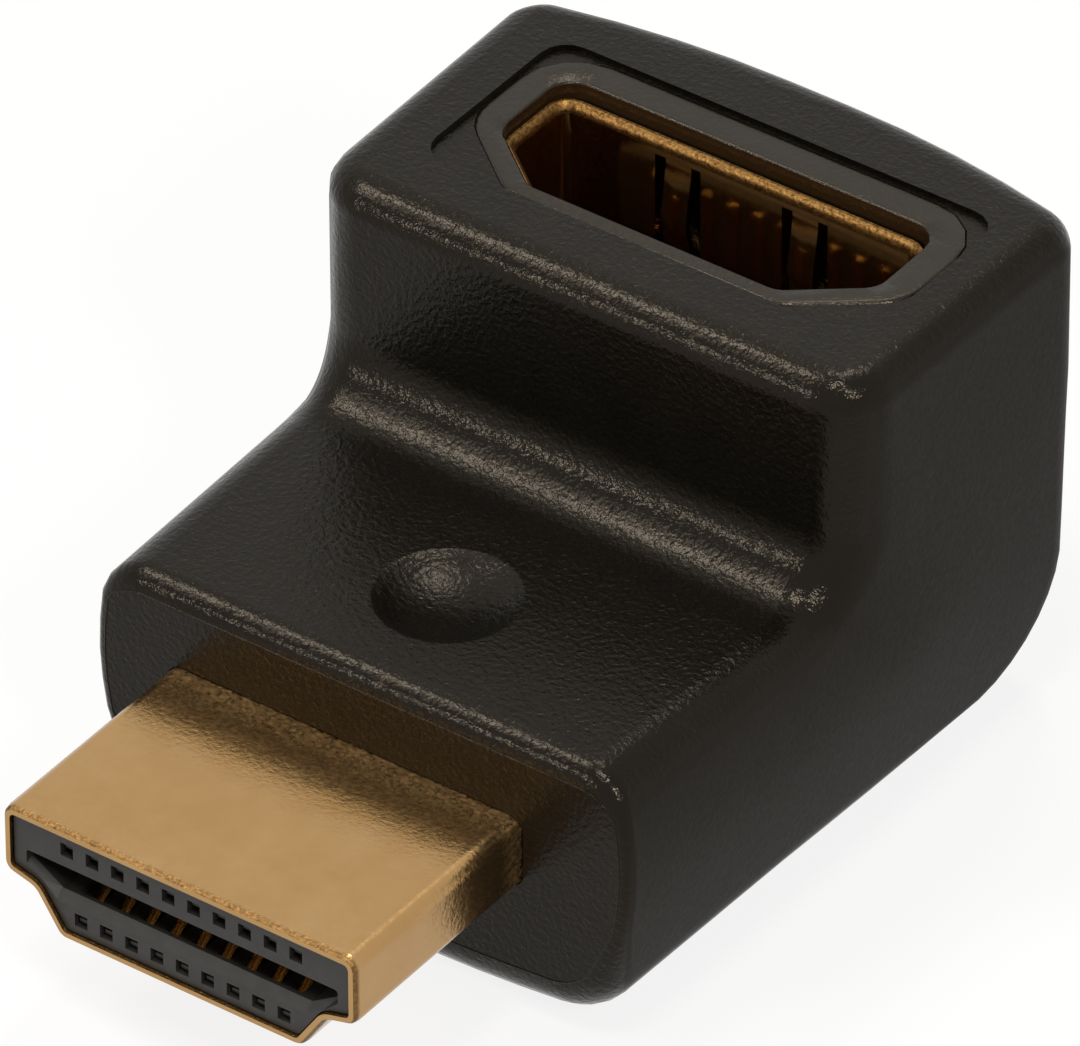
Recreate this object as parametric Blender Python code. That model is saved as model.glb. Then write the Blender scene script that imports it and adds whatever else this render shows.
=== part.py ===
# Right angle audio and video adapter: a plug with 19 contacts on its lower leg, and the socket
# that takes such a plug in the top of its upper leg. Metres, +Z up. The plug points along -Y, the
# socket opens upwards, and the origin is on the ground under the middle of the adapter.

from math import atan2, cos, hypot, pi, radians, sin, tan

import bmesh
import bpy
from mathutils import Vector

# Overmould: the two legs of the elbow
LOWER_LEG_LENGTH = 0.0118  # front face to the front of the upper leg
LOWER_LEG_HEIGHT = 0.01104  # ground to the top of the lower leg
UPPER_LEG_DEPTH = 0.01378  # front to back of the upper leg, at its middle
UPPER_LEG_RISE = 0.00803  # top of the lower leg to the top of the upper leg
FRONT_WIDTH = 0.02113
BACK_WIDTH = 0.02225
FLANK_DRAFT = 0.222  # how fast a flank of the lower leg narrows, far from the parting line
FLANK_BLEND = 0.0024  # distance over which the draft sets in on each side of that line
PARTING_SHARE = 0.33  # where the parting line runs, as a share of the way to the outer side
ELBOW_RADIUS = 0.00475
INNER_FILLET = 0.0022
BOTTOM_CROWN = 0.00077  # how far the underside rises towards its long edges
BACK_BOW = 0.00132  # how far the back curves away towards its upright edges
GROUND_LAND = 0.0024  # width of the flat strip along the middle of the underside
BOTTOM_EDGE_RADIUS = 0.00185
BACK_EDGE_RADIUS = 0.0013
LOWER_TOP_EDGE_RADIUS = 0.00148
ELBOW_EDGE_RADIUS = 0.00133  # the same edge where it reaches the bend
UPPER_FRONT_EDGE_RADIUS = 0.00205
TOP_RIM_RADIUS = 0.00114
FRONT_RIM_TOP = 0.0008
FRONT_RIM_SIDE = 0.00043
FRONT_RIM_BOTTOM = 0.00168
FRONT_RIM_SPREAD = 0.0050  # height below which the rim of the front face grows rounder

# Finger dish in the top of the lower leg
DISH_RADIUS = 0.0024
DISH_DEPTH = 0.00055
DISH_LIP_RADIUS = 0.0003
DISH_SETBACK = 0.0048  # front face to the middle of the dish

# Plug, on an axis along Y. Heights in its outlines run from that axis, wide side up.
PLUG_OFFSET = -0.0006  # sideways, from the middle of the overmould
PLUG_AXIS_DROP = 0.00534  # top of the lower leg down to the axis of the plug
PLUG_REACH = 0.0088  # front face of the overmould to the front of the shell
PLUG_SHELL_BURIED = 0.0030  # how far the shell goes on inside the overmould
PLUG_WIDTH = 0.0139
PLUG_HEIGHT = 0.00445
PLUG_SHOULDER_HEIGHT = -0.00038  # where the upright side ends
PLUG_WAIST_WIDTH = 0.0115
PLUG_WAIST_HEIGHT = -0.0007
PLUG_FOOT_WIDTH = 0.0095
PLUG_CORNER_RADIUS = 0.0005
PLUG_SHELL_WALL = 0.0003
PLUG_NOSE_TAPER = 0.00012  # how far the front edge is drawn in
PLUG_NOSE_LENGTH = 0.0003

# Plug insulator and its slot
INSULATOR_RECESS = 0.00015  # shell front to insulator front
INSULATOR_BURIED = 0.0010  # how far the insulator goes on inside the overmould
SLOT_DEPTH = 0.0070
SLOT_WIDTH = 0.01224
SLOT_TOP = 0.00062
SLOT_SHOULDER = 0.00024
SLOT_FLOOR = -0.00056
SLOT_FLOOR_WIDTH = 0.0098
SLOT_LIP_DROP = 0.0003  # how far the lower lip is cut away at the front
SLOT_LIP_DEPTH = 0.0003
SLOT_CORNER_RADIUS = 0.00012

# Contacts
CONTACT_PITCH = 0.0010
WIDE_ROW = 10
NARROW_ROW = 9
CONTACT_WIDTH = 0.00036
CONTACT_THICKNESS = 0.00016
CHANNEL_WIDTH = 0.0005
WINDOW_HEIGHT = 0.0005
TROUGH_MARGIN = 0.0004  # past the outer contacts of a row
TROUGH_DEPTH = 0.0004  # below the slot's floor and above its top
UPPER_WINDOW = 0.00128  # middle of the windows above the slot
LOWER_WINDOW = -0.00134
WINDOW_BRIDGE = 0.00045  # insulator left standing in front of each trough
CONTACT_SETBACK = 0.00015  # insulator front to the tips of the contacts
CONTACT_TIP = 0.0004  # straight length of a contact behind its tip
BUMP_SETBACK = 0.0020  # insulator front to where a contact stands furthest into the slot
BUMP_PROUD = 0.00012
BUMP_FLAT = 0.0003
BUMP_RAMP = 0.0014
TAIL_LENGTH = 0.0015
TAIL_DROP = 0.0009  # length over which a tail comes down to the circuit board

# Circuit board
BOARD_THICKNESS = 0.0010
BOARD_NOSE_WIDTH = 0.0104
BOARD_NOSE_SETBACK = 0.0016  # front face of the overmould to the edge under the plug's tails
BOARD_SHOULDER_SETBACK = 0.0037  # front face to where the board is at its full width
BOARD_MARGIN = 0.0006  # past the receptacle's shell on each side
BOARD_CORNER_RADIUS = 0.0006
BACK_WALL = 0.0018  # overmould behind the board, at its middle
PIN_HOLE_RADIUS = 0.00029
PIN_STANDOUT = 0.0006  # pins and legs below the board

# Receptacle, on an axis along Z. Its outlines run from that axis, wide side at the back.
SOCKET_OFFSET = 0.0003  # sideways, from the middle of the overmould
SOCKET_SETBACK = 0.00635  # front of the upper leg to the axis
SOCKET_WIDTH = 0.0140
SOCKET_HEIGHT = 0.00455
SOCKET_SHOULDER = -0.0005
SOCKET_FOOT_WIDTH = 0.0095
SOCKET_CORNER_RADIUS = 0.0005
SOCKET_SHELL_WALL = 0.0003
SOCKET_LEAD_IN = 0.0002
SOCKET_RIM_DEPTH = 0.0005  # top of the bezel to the rim of the shell
MATING_CLEARANCE = 0.00009  # between the tongue and the slot of a plug
TONGUE_DEPTH = 0.0023  # rim of the shell to the tip of the tongue
TONGUE_LENGTH = 0.0068
TONGUE_TIP_CHAMFER = 0.00015
TONGUE_GROOVE_DEPTH = 0.00012
SOCKET_CONTACT_SETBACK = 0.0005  # tip of the tongue to the tips of the contacts
SOCKET_BLOCK_RAISE = 0.0013  # circuit board to the insulator's block
TAIL_SPREAD = 0.0005

# Spring fingers and legs of the receptacle's shell
FINGER_WIDTH = 0.0010
FINGER_SPACING = 0.0050
FINGER_SLOT_WIDTH = 0.0004
FINGER_ROOT_DEPTH = 0.0006  # rim to the top of the slots
FINGER_ROOT_LAP = 0.0003  # straight length of a finger above and below the top of its slots
FINGER_RIDGE_DEPTH = 0.0028  # rim to the ridge that presses on a plug
FINGER_END_DEPTH = 0.0042
FINGER_THROW = 0.00032
FINGER_THICKNESS = 0.00022
LEG_WIDTH = 0.0008
LEG_THICKNESS = 0.00024
LEG_SPACING = 0.0017
LEG_MIDDLE = 0.00085

# Bezel round the socket and the shallow recess that it sits in
BEZEL_HEIGHT = 0.0030
BEZEL_FRONT_RIM = 0.0006
BEZEL_CHAMFER_RIM = 0.00075
BEZEL_SIDE_RIM = 0.00115
BEZEL_BACK_RIM = 0.00125
BEZEL_BACK_GAP = 0.0002  # how much further back than the shell its opening reaches
BEZEL_EDGE_RADIUS = 0.0003
BEZEL_DROP = 0.0001  # below the top of the overmould
RECESS_DEPTH = 0.0002
RECESS_SIDE_MARGIN = 0.00016  # bezel to the walls of the recess
RECESS_BACK_MARGIN = 0.00023
RECESS_CORNER_RADIUS = 0.0010

# Clearances
EXIT_CLEARANCE = 0.00005  # overmould to plug shell
SHELL_CLEARANCE = 0.00005  # insulators to their shells
CONTACT_CLEARANCE = 0.00005
SOLDER_GAP = 0.00005
BEZEL_CLEARANCE = 0.00008
CAVITY_CLEARANCE = 0.0003

# Tools
CUT_PAST = 0.0002  # how far a cutter runs past the surface that it opens
LEAST_RADIUS = 0.00005  # a rounded corner never gets sharper than this
MERGE_DISTANCE = 1e-7

# Smoothness
SHARP_ANGLE = radians(32)
ARC_STEPS = 4
CORNER_STEPS = 6
FLANK_STEPS = 6
RIM_STEPS = 6
ELBOW_STEPS = 16
CROWN_STEPS = 4
DISH_STEPS = 32
PIN_HOLE_SIDES = 10

# Worked out from the sizes above
BODY_DEPTH = LOWER_LEG_LENGTH + UPPER_LEG_DEPTH
BODY_HEIGHT = LOWER_LEG_HEIGHT + UPPER_LEG_RISE
PLUG_AXIS_HEIGHT = LOWER_LEG_HEIGHT - PLUG_AXIS_DROP
FRONT_Y = (PLUG_REACH - BODY_DEPTH) / 2
SOCKET_AXIS = LOWER_LEG_LENGTH + SOCKET_SETBACK
BOARD_TOP = PLUG_AXIS_HEIGHT + BOARD_THICKNESS / 2
BOARD_BOTTOM = PLUG_AXIS_HEIGHT - BOARD_THICKNESS / 2
BEZEL_TOP = BODY_HEIGHT - BEZEL_DROP
SOCKET_RIM = BEZEL_TOP - SOCKET_RIM_DEPTH
TONGUE_TIP = SOCKET_RIM - TONGUE_DEPTH
TONGUE_ROOT = TONGUE_TIP - TONGUE_LENGTH
INSULATOR_FRONT = INSULATOR_RECESS - PLUG_REACH
PIN_END = BOARD_BOTTOM - PIN_STANDOUT


def mirrored(right_corners):
    """Corners (x, y, radius) up the right side, and the same down the left side."""
    return right_corners + [(-x, y, radius) for x, y, radius in reversed(right_corners)]


def outline(corners, grow=0.0, steps=ARC_STEPS):
    """A closed outline, anticlockwise, with an arc at each corner (x, y, radius).

    grow moves every edge outwards. A list gives each edge its own amount, from the edge that
    leaves the first corner."""
    grows = grow if isinstance(grow, list) else [grow] * len(corners)
    edges = []
    for i, (x, y, _) in enumerate(corners):
        end = corners[(i + 1) % len(corners)]
        along = Vector((end[0] - x, end[1] - y)).normalized()
        edges.append((Vector((x, y)) + Vector((along.y, -along.x)) * grows[i], along))
    points = []
    for i, (_, _, radius) in enumerate(corners):
        (start, along), (next_start, next_along) = edges[i - 1], edges[i]
        cross = along.cross(next_along)
        corner = start + along * ((next_start - start).cross(next_along) / cross)
        turn = atan2(cross, along.dot(next_along))
        side = 1 if turn > 0 else -1
        arc_radius = max(radius + side * (grows[i - 1] + grows[i]) / 2, LEAST_RADIUS)
        first = corner - along * (arc_radius * tan(abs(turn) / 2))
        spoke = Vector((along.y, -along.x)) * (side * arc_radius)
        for step in range(steps + 1):
            angle = turn * step / steps
            turned = Vector((
                spoke.x * cos(angle) - spoke.y * sin(angle),
                spoke.x * sin(angle) + spoke.y * cos(angle),
            ))
            points.append(first - spoke + turned)
    return points


def along_x(points, x):
    return [(x, y, z) for y, z in points]


def along_y(points, y):
    return [(x, y, z) for x, z in points]


def along_z(points, z):
    return [(x, y, z) for x, y in points]


def skin(rings, closed=False):
    """A shape whose rings of points are joined in turn. Its ends are capped, or meet if closed."""
    shape = bmesh.new()
    rows = [[shape.verts.new(point) for point in ring] for ring in rings]
    spans = list(zip(rows, rows[1:]))
    if closed:
        spans.append((rows[-1], rows[0]))
    else:
        shape.faces.new(rows[0])
        shape.faces.new(rows[-1])
    for low, high in spans:
        for i in range(len(low)):
            shape.faces.new((low[i - 1], low[i], high[i], high[i - 1]))
    bmesh.ops.recalc_face_normals(shape, faces=shape.faces)
    return shape


def prism(points, place, start, end):
    return skin([place(points, start), place(points, end)])


def box(low, high):
    (x0, y0, z0), (x1, y1, z1) = low, high
    return prism([(x0, y0), (x1, y0), (x1, y1), (x0, y1)], along_z, z0, z1)


def together(shapes):
    """One shape out of several that lie clear of each other."""
    whole = bmesh.new()
    for shape in shapes:
        copy = bpy.data.meshes.new("piece")
        shape.to_mesh(copy)
        shape.free()
        whole.from_mesh(copy)
        bpy.data.meshes.remove(copy)
    return whole


def strip(path, thickness, x, width):
    """Sheet metal bent along a path of (y, z) points, with mitred bends, width wide about x."""
    path = [Vector(point) for point in path]
    left, right = [], []
    for i, point in enumerate(path):
        before = (point - path[i - 1]).normalized() if i else None
        after = (path[i + 1] - point).normalized() if i + 1 < len(path) else before
        before = before or after
        bisector = (before + after).normalized()
        normal = Vector((-bisector.y, bisector.x))
        reach = thickness / 2 / normal.dot(Vector((-before.y, before.x)))
        left.append(point + normal * reach)
        right.append(point - normal * reach)
    return prism(right + left[::-1], along_x, x - width / 2, x + width / 2)


def row_places(count):
    return [(i - (count - 1) / 2) * CONTACT_PITCH for i in range(count)]


def material(name, colour, roughness, metallic=0.0):
    made = bpy.data.materials.new(name)
    made.use_nodes = True
    shader = made.node_tree.nodes["Principled BSDF"]
    shader.inputs["Base Color"].default_value = (*colour, 1)
    shader.inputs["Roughness"].default_value = roughness
    shader.inputs["Metallic"].default_value = metallic
    return made


def add_object(name, shape):
    mesh = bpy.data.meshes.new(name)
    shape.to_mesh(mesh)
    shape.free()
    made = bpy.data.objects.new(name, mesh)
    bpy.context.scene.collection.objects.link(made)
    return made


def cutting(shapes):
    return [("DIFFERENCE", shape) for shape in shapes]


def joining(shapes):
    return [("UNION", shape) for shape in shapes]


def piece(name, shape, finish, location, work=()):
    """One named solid: the shape, with others cut from it or joined to it in the order of work."""
    made = add_object(name, shape)
    tools = []
    for operation, other in work:
        tool = add_object(name + "_tool", other)
        tool.hide_render = True
        tool.display_type = "WIRE"
        modifier = made.modifiers.new(operation.title(), "BOOLEAN")
        modifier.operation = operation
        modifier.solver = "EXACT"
        modifier.object = tool
        tools.append(tool)
    if tools:
        graph = bpy.context.evaluated_depsgraph_get()
        rough = made.data
        made.data = bpy.data.meshes.new_from_object(made.evaluated_get(graph))
        made.data.name = name
        made.modifiers.clear()
        bpy.data.meshes.remove(rough)
    for tool in tools:
        bpy.data.meshes.remove(tool.data)
    made.data.materials.clear()
    made.data.materials.append(finish)
    made.data.shade_smooth()
    made.data.set_sharp_from_angle(angle=SHARP_ANGLE)
    made.location = location
    return made


def half_width(y):
    """Half the width of the overmould at its parting line. The flanks spread towards the back."""
    return (FRONT_WIDTH + (BACK_WIDTH - FRONT_WIDTH) * y / BODY_DEPTH) / 2


def body_ring(inner, outer, draft, inner_radius, outer_radius, crown):
    """A cross section of the elbow between a point on its inner side and one on its outer side.

    The flanks are drafted both ways from the parting line. The outer side is crowned, apart
    from the strip that the adapter stands on."""
    inner, outer = Vector(inner), Vector(outer)
    depth = (outer - inner).length
    across = (outer - inner) / depth
    parting = depth * PARTING_SHARE

    def drafted(y, at):
        return half_width(y) - draft * (hypot(at - parting, FLANK_BLEND) - FLANK_BLEND)

    full = drafted(outer.x, depth)
    land = GROUND_LAND / 2
    half = []

    def place(edge_distance, at):
        middle = inner + across * at
        half.append(Vector((drafted(middle.x, at) - edge_distance, middle.x, middle.y)))

    def crown_drop(edge_distance):
        return crown * (max(full - edge_distance - land, 0) / (full - land)) ** 2

    for step in range(ARC_STEPS + 1):
        angle = pi / 2 * step / ARC_STEPS
        place(inner_radius * (1 - sin(angle)), inner_radius * (1 - cos(angle)))
    flank_end = depth - crown_drop(0) - outer_radius
    for step in range(1, FLANK_STEPS):
        place(0, inner_radius + (flank_end - inner_radius) * step / FLANK_STEPS)
    for step in range(CORNER_STEPS + 1):
        angle = pi / 2 * step / CORNER_STEPS
        distance = outer_radius * (1 - cos(angle))
        place(distance, depth - crown_drop(distance) - outer_radius * (1 - sin(angle)))
    for step in range(1, CROWN_STEPS + 1):
        distance = outer_radius + (full - land - outer_radius) * step / CROWN_STEPS
        place(distance, depth - crown_drop(distance))
    return half + [Vector((-x, y, z)) for x, y, z in reversed(half)]


def rim(ring, axis, into, radius_at):
    """Rings that round off the end of a leg, from its end face to its flanks.

    axis is square to the ring and turns along it into the shape. into is 1 where the leg lies
    on the axis's side of its end face, and -1 where it lies on the other side."""
    axis = Vector(axis)
    rings = []
    for step in range(RIM_STEPS + 1):
        angle = pi / 2 * step / RIM_STEPS
        points = []
        for i, point in enumerate(ring):
            along = ring[(i + 1) % len(ring)] - ring[i - 1]
            inwards = axis.cross(along).normalized()
            radius = radius_at(point)
            points.append(point + inwards * (radius * (1 - sin(angle)))
                          + axis * (into * radius * (1 - cos(angle))))
        rings.append(points)
    return rings


def front_rim_radius(point):
    """The rim of the front face is tight at its sides, and rounder above and below."""
    above = max(point.z - LOWER_LEG_HEIGHT + LOWER_TOP_EDGE_RADIUS, 0) / LOWER_TOP_EDGE_RADIUS
    below = max(1 - point.z / FRONT_RIM_SPREAD, 0)
    return (FRONT_RIM_SIDE + (FRONT_RIM_TOP - FRONT_RIM_SIDE) * above
            + (FRONT_RIM_BOTTOM - FRONT_RIM_SIDE) * below)


def elbow_stations():
    """Matching points (y, z) on the inner and outer sides, round the bend between the legs."""
    fillet_middle = Vector((LOWER_LEG_LENGTH - INNER_FILLET, LOWER_LEG_HEIGHT + INNER_FILLET))
    elbow_middle = Vector((BODY_DEPTH - ELBOW_RADIUS, ELBOW_RADIUS))
    quarter = ELBOW_STEPS // 4
    stations = []
    for step in range(ELBOW_STEPS + 1):
        angle = pi / 2 * step / ELBOW_STEPS
        inner = fillet_middle + Vector((sin(angle), -cos(angle))) * INNER_FILLET
        if step < quarter:
            outer = Vector((fillet_middle.x, 0)).lerp(Vector((elbow_middle.x, 0)), step / quarter)
        elif step <= ELBOW_STEPS - quarter:
            turn = pi / 2 * (step - quarter) / (ELBOW_STEPS - 2 * quarter)
            outer = elbow_middle + Vector((sin(turn), -cos(turn))) * ELBOW_RADIUS
        else:
            up = (step - ELBOW_STEPS + quarter) / quarter
            outer = Vector((BODY_DEPTH, elbow_middle.y)).lerp(
                Vector((BODY_DEPTH, fillet_middle.y)), up
            )
        stations.append((inner, outer))
    return stations


def body_shape():
    """The elbow: the front face, the lower leg, the bend, the upper leg and its top."""
    front = body_ring((0, LOWER_LEG_HEIGHT), (0, 0), FLANK_DRAFT, LOWER_TOP_EDGE_RADIUS,
                      BOTTOM_EDGE_RADIUS, BOTTOM_CROWN)
    rings = rim(front, (0, 1, 0), 1, front_rim_radius)
    for step, (inner, outer) in enumerate(elbow_stations()):
        share = step / ELBOW_STEPS
        rings.append(
            body_ring(
                inner, outer, FLANK_DRAFT * (1 - share),
                ELBOW_EDGE_RADIUS + (UPPER_FRONT_EDGE_RADIUS - ELBOW_EDGE_RADIUS) * share,
                BOTTOM_EDGE_RADIUS + (BACK_EDGE_RADIUS - BOTTOM_EDGE_RADIUS) * share,
                BOTTOM_CROWN + (BACK_BOW - BOTTOM_CROWN) * share,
            )
        )
    top = body_ring((LOWER_LEG_LENGTH, BODY_HEIGHT), (BODY_DEPTH, BODY_HEIGHT), 0,
                    UPPER_FRONT_EDGE_RADIUS, BACK_EDGE_RADIUS, BACK_BOW)
    rings += reversed(rim(top, (0, 0, 1), -1, lambda point: TOP_RIM_RADIUS))
    return skin(rings)


def dish_shape():
    """Cuts the finger dish: a shallow bowl with a rounded lip, turned about its middle."""
    sphere_radius = (DISH_RADIUS**2 + DISH_DEPTH**2) / (2 * DISH_DEPTH)
    slope = atan2(DISH_RADIUS, sphere_radius - DISH_DEPTH)
    profile = []
    for step in range(CORNER_STEPS + 1):
        angle = slope * step / CORNER_STEPS
        profile.append((sphere_radius * sin(angle), sphere_radius * (1 - cos(angle)) - DISH_DEPTH))
    lip_middle = DISH_RADIUS + DISH_LIP_RADIUS * sin(slope)
    for step in range(1, ARC_STEPS + 1):
        angle = slope * (1 - step / ARC_STEPS)
        lip_height = DISH_LIP_RADIUS * (cos(angle) - cos(slope))
        profile.append((lip_middle - DISH_LIP_RADIUS * sin(angle), lip_height))
    top = profile[-1][1]
    shape = bmesh.new()
    points = [shape.verts.new((0, r, z - top)) for r, z in profile]
    points.append(shape.verts.new((0, profile[-1][0], DISH_DEPTH)))
    points.append(shape.verts.new((0, 0, DISH_DEPTH)))
    for low, high in zip(points, points[1:]):
        shape.edges.new((low, high))
    bmesh.ops.spin(shape, geom=shape.verts[:] + shape.edges[:], cent=(0, 0, 0), axis=(0, 0, 1),
                   angle=2 * pi, steps=DISH_STEPS, use_merge=True)
    bmesh.ops.remove_doubles(shape, verts=shape.verts, dist=MERGE_DISTANCE)
    bmesh.ops.recalc_face_normals(shape, faces=shape.faces)
    bmesh.ops.translate(shape, verts=shape.verts, vec=(0, DISH_SETBACK, LOWER_LEG_HEIGHT))
    return shape


def plug_corners():
    return mirrored([
        (PLUG_FOOT_WIDTH / 2, -PLUG_HEIGHT / 2, PLUG_CORNER_RADIUS),
        (PLUG_WAIST_WIDTH / 2, PLUG_WAIST_HEIGHT, PLUG_CORNER_RADIUS),
        (PLUG_WIDTH / 2, PLUG_SHOULDER_HEIGHT, PLUG_CORNER_RADIUS),
        (PLUG_WIDTH / 2, PLUG_HEIGHT / 2, PLUG_CORNER_RADIUS),
    ])


def slot_corners(lip_drop=0.0):
    return mirrored([
        (SLOT_FLOOR_WIDTH / 2, SLOT_FLOOR - lip_drop, SLOT_CORNER_RADIUS),
        (SLOT_WIDTH / 2, SLOT_SHOULDER - lip_drop / 2, SLOT_CORNER_RADIUS),
        (SLOT_WIDTH / 2, SLOT_TOP, SLOT_CORNER_RADIUS),
    ])


def socket_corners():
    return mirrored([
        (SOCKET_FOOT_WIDTH / 2, -SOCKET_HEIGHT / 2, SOCKET_CORNER_RADIUS),
        (SOCKET_WIDTH / 2, SOCKET_SHOULDER, SOCKET_CORNER_RADIUS),
        (SOCKET_WIDTH / 2, SOCKET_HEIGHT / 2, SOCKET_CORNER_RADIUS),
    ])


def bezel_opening(grow=0.0):
    """How far each edge of the bezel's opening lies outside the receptacle's outline."""
    all_round = SOCKET_SHELL_WALL + BEZEL_CLEARANCE + grow
    return [all_round, all_round, all_round + BEZEL_BACK_GAP, all_round, all_round, all_round]


def bezel_outline(grow=0.0):
    """The bezel's outer edge, whose rim is widest at the back."""
    rims = [BEZEL_CHAMFER_RIM, BEZEL_SIDE_RIM, BEZEL_BACK_RIM,
            BEZEL_SIDE_RIM, BEZEL_CHAMFER_RIM, BEZEL_FRONT_RIM]
    edges = [opening + rim for opening, rim in zip(bezel_opening(grow), rims)]
    return outline(socket_corners(), edges)


def board_half_width():
    return SOCKET_WIDTH / 2 + SOCKET_SHELL_WALL + BOARD_MARGIN + abs(SOCKET_OFFSET)


def board_end():
    return BODY_DEPTH - BACK_WALL - CAVITY_CLEARANCE


def leg_places():
    """(x, y) of the middle of each leg, in the side walls of the receptacle's shell."""
    x = (SOCKET_WIDTH + SOCKET_SHELL_WALL) / 2
    return [(side * x, LEG_MIDDLE + end * LEG_SPACING / 2) for side in (-1, 1) for end in (-1, 1)]


def overmould_cuts():
    """The overmould's hollows, from its own datum: the middle of the front face at the ground."""
    exit_points = [(x + PLUG_OFFSET, z + PLUG_AXIS_HEIGHT)
                   for x, z in outline(plug_corners(), EXIT_CLEARANCE)]
    plug_way = prism(exit_points, along_y, -CUT_PAST, PLUG_SHELL_BURIED + CAVITY_CLEARANCE)
    side = board_half_width() + CAVITY_CLEARANCE
    board_room = box(
        (-side, PLUG_SHELL_BURIED, PIN_END - CAVITY_CLEARANCE),
        (side, board_end() + CAVITY_CLEARANCE, BOARD_TOP + CAVITY_CLEARANCE * 2),
    )
    tall_points = outline(socket_corners(), SOCKET_SHELL_WALL + CAVITY_CLEARANCE)
    socket_way = prism(tall_points, along_z, BOARD_TOP, BODY_HEIGHT + CUT_PAST)
    seat_floor = BEZEL_TOP - BEZEL_HEIGHT - CAVITY_CLEARANCE
    seat = prism(bezel_outline(BEZEL_CLEARANCE), along_z, seat_floor, BODY_HEIGHT + CUT_PAST)
    bezel_points = bezel_outline()
    side = max(x for x, y in bezel_points) + RECESS_SIDE_MARGIN
    front = min(y for x, y in bezel_points) - RECESS_SIDE_MARGIN
    back = max(y for x, y in bezel_points) + RECESS_BACK_MARGIN
    recess_corners = mirrored([
        (side, front, RECESS_CORNER_RADIUS), (side, back, RECESS_CORNER_RADIUS)
    ])
    recess = prism(outline(recess_corners), along_z, BODY_HEIGHT - RECESS_DEPTH,
                   BODY_HEIGHT + CUT_PAST)
    for shape in (socket_way, seat, recess):
        bmesh.ops.translate(shape, verts=shape.verts, vec=(SOCKET_OFFSET, SOCKET_AXIS, 0))
    return [plug_way, board_room, socket_way, seat, recess, dish_shape()]


def plug_shell_shape():
    corners = plug_corners()
    buried = PLUG_SHELL_BURIED
    nose = -PLUG_REACH
    return skin([
        along_y(outline(corners, -PLUG_NOSE_TAPER), nose),
        along_y(outline(corners, -PLUG_NOSE_TAPER / 3), nose + PLUG_NOSE_LENGTH / 3),
        along_y(outline(corners), nose + PLUG_NOSE_LENGTH),
        along_y(outline(corners), buried),
        along_y(outline(corners, -PLUG_SHELL_WALL), buried),
        along_y(outline(corners, -PLUG_SHELL_WALL), nose),
    ], closed=True)


def channel_shapes(x, window, face):
    """One contact's window with its way out at the back, and its groove in the trough."""
    away = 1 if window > face else -1
    half = CHANNEL_WIDTH / 2
    low, high = sorted((window - away * WINDOW_HEIGHT / 2, window + away * WINDOW_HEIGHT / 2))
    way_through = box((x - half, INSULATOR_FRONT - CUT_PAST, low),
                      (x + half, INSULATOR_BURIED + CUT_PAST, high))
    low, high = sorted((window, face + away * TROUGH_DEPTH / 2))
    groove = box((x - half, INSULATOR_FRONT + WINDOW_BRIDGE, low),
                 (x + half, INSULATOR_FRONT + SLOT_DEPTH, high))
    return way_through, groove


def plug_insulator_cuts():
    slot = skin([
        along_y(outline(slot_corners(SLOT_LIP_DROP * 2)), INSULATOR_FRONT - SLOT_LIP_DEPTH),
        along_y(outline(slot_corners()), INSULATOR_FRONT + SLOT_LIP_DEPTH),
        along_y(outline(slot_corners()), INSULATOR_FRONT + SLOT_DEPTH),
    ])
    cuts = [slot]
    for count, window, face in ((WIDE_ROW, UPPER_WINDOW, SLOT_TOP),
                                (NARROW_ROW, LOWER_WINDOW, SLOT_FLOOR)):
        away = 1 if window > face else -1
        side = (count - 1) / 2 * CONTACT_PITCH + TROUGH_MARGIN
        low, high = sorted((face - away * CUT_PAST, face + away * TROUGH_DEPTH))
        cuts.append(box((-side, INSULATOR_FRONT + WINDOW_BRIDGE, low),
                        (side, INSULATOR_FRONT + SLOT_DEPTH, high)))
        channels = [channel_shapes(x, window, face) for x in row_places(count)]
        cuts.append(together([way_through for way_through, groove in channels]))
        cuts.append(together([groove for way_through, groove in channels]))
    return cuts


def plug_contact_shape(x, window, slot_face):
    """A spring contact: its tip in the window, its bump in the slot, its tail on the board."""
    away = 1 if window > slot_face else -1
    half = CONTACT_THICKNESS / 2
    wall = window + away * (WINDOW_HEIGHT / 2 - half - CONTACT_CLEARANCE)
    bump = slot_face - away * (BUMP_PROUD - half)
    tail = away * (BOARD_THICKNESS / 2 + SOLDER_GAP + half)
    bump_y = INSULATOR_FRONT + BUMP_SETBACK
    rear = INSULATOR_BURIED + CONTACT_CLEARANCE
    path = [
        (INSULATOR_FRONT + CONTACT_SETBACK, wall - away * CONTACT_CLEARANCE),
        (INSULATOR_FRONT + CONTACT_SETBACK + CONTACT_TIP, wall - away * CONTACT_CLEARANCE),
        (bump_y - BUMP_FLAT / 2, bump),
        (bump_y + BUMP_FLAT / 2, bump),
        (bump_y + BUMP_RAMP, wall),
        (rear, wall),
        (rear + TAIL_DROP, tail),
        (rear + TAIL_DROP + TAIL_LENGTH, tail),
    ]
    return strip(path, CONTACT_THICKNESS, x, CONTACT_WIDTH)


def tongue_face(row_side):
    """Where the wide face (1) or the narrow face (-1) of the tongue lies."""
    return SLOT_TOP - MATING_CLEARANCE if row_side > 0 else SLOT_FLOOR + MATING_CLEARANCE


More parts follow.
